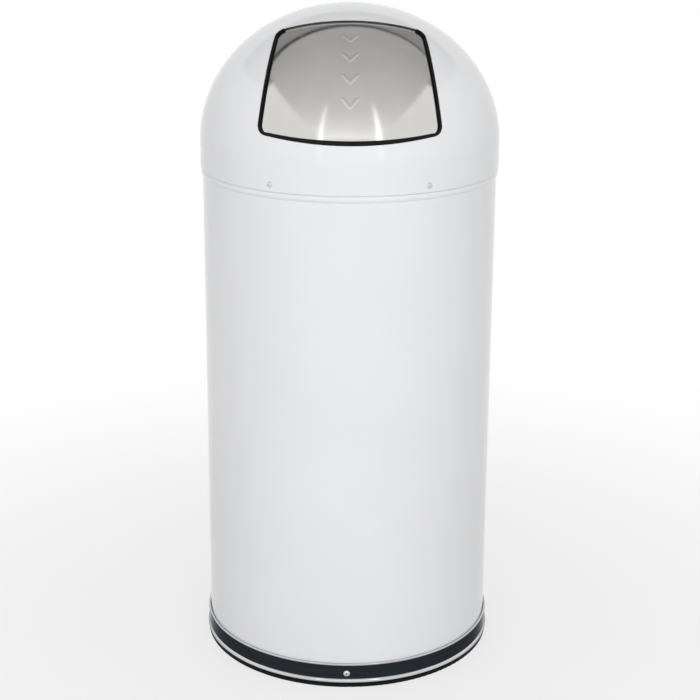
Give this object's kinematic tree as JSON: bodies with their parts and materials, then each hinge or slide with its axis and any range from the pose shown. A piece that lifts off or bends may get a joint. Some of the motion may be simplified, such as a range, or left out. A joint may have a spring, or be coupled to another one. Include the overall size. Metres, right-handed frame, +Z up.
{
  "type": "dome top trash can",
  "caption": "Round steel trash can with a lift-off domed head, a sprung curved flap in the head's front, a polished foot band and a lift-out liner with a bail.",
  "frame": {"origin": "middle of the can's foot, on the floor", "axes": "+Z up along the can's axis, -Y towards the flap at the front, +X to the right seen from the front"},
  "size_m": [0.3436, 0.3436, 0.76],
  "materials": {
    "white_enamel": "gloss white enamel on rolled steel",
    "head_enamel": "gloss white enamel on spun steel",
    "polished_band": "dark polished steel band",
    "flap_stainless": "bright polished stainless",
    "bright_rivet": "bright plated rivet",
    "foot_rubber": "matt black moulded rubber",
    "trim_rubber": "satin black edging rubber",
    "galvanised_sheet": "galvanised steel sheet",
    "galvanised_liner": "galvanised steel with a light spangle",
    "zinc_plate": "zinc plated pressing",
    "rod_steel": "bright drawn steel rod",
    "spring_steel": "oiled spring wire",
    "bush_nylon": "natural nylon",
    "bail_wire": "zinc plated wire"
  },
  "bodies": {
    "root": {"body_shell": "white_enamel", "body_floor": "galvanised_sheet", "base_ring": "polished_band", "foot_ring": "foot_rubber", "base_rivets": "bright_rivet"},
    "head": {"dome_head": "head_enamel", "head_collar": "galvanised_sheet", "head_rivets": "bright_rivet", "opening_trim": "trim_rubber", "head_bracket_left": "zinc_plate", "head_bracket_right": "zinc_plate", "hinge_rod": "rod_steel", "rod_clips": "zinc_plate", "torsion_spring_left": "spring_steel", "torsion_spring_right": "spring_steel"},
    "flap": {"flap_plate": "flap_stainless", "flap_bracket_left": "zinc_plate", "flap_bracket_right": "zinc_plate", "hinge_bush_left": "bush_nylon", "hinge_bush_right": "bush_nylon"},
    "liner": {"liner_bucket": "galvanised_liner", "liner_ear_left": "galvanised_sheet", "liner_ear_right": "galvanised_sheet", "ear_rivets": "bright_rivet"},
    "handle": {"liner_handle": "bail_wire"}
  },
  "joints": [
    {"name": "head_lift", "type": "slide", "parent": "root", "child": "head", "axis": [0, 0, 1], "range_m": [0, 0.65]},
    {"name": "liner_lift", "type": "slide", "parent": "root", "child": "liner", "axis": [0, 0, 1], "range_m": [0, 0.585]},
    {"name": "flap_hinge", "type": "hinge", "parent": "head", "child": "flap", "pos_m": [0, -0.028, 0.718], "axis": [1, 0, 0], "range_deg": [0, 50], "stiffness_Nm_per_rad": 0.3, "springref_deg": -80.21, "deforming": ["torsion_spring_left", "torsion_spring_right"]},
    {"name": "handle_swing", "type": "hinge", "parent": "liner", "child": "handle", "pos_m": [0, 0, 0.5508], "axis": [1, 0, 0], "range_deg": [0, 180]}
  ],
  "couplings": [
    {"joint": "liner_lift", "follows": "head_lift", "ratio": 0.9}
  ]
}
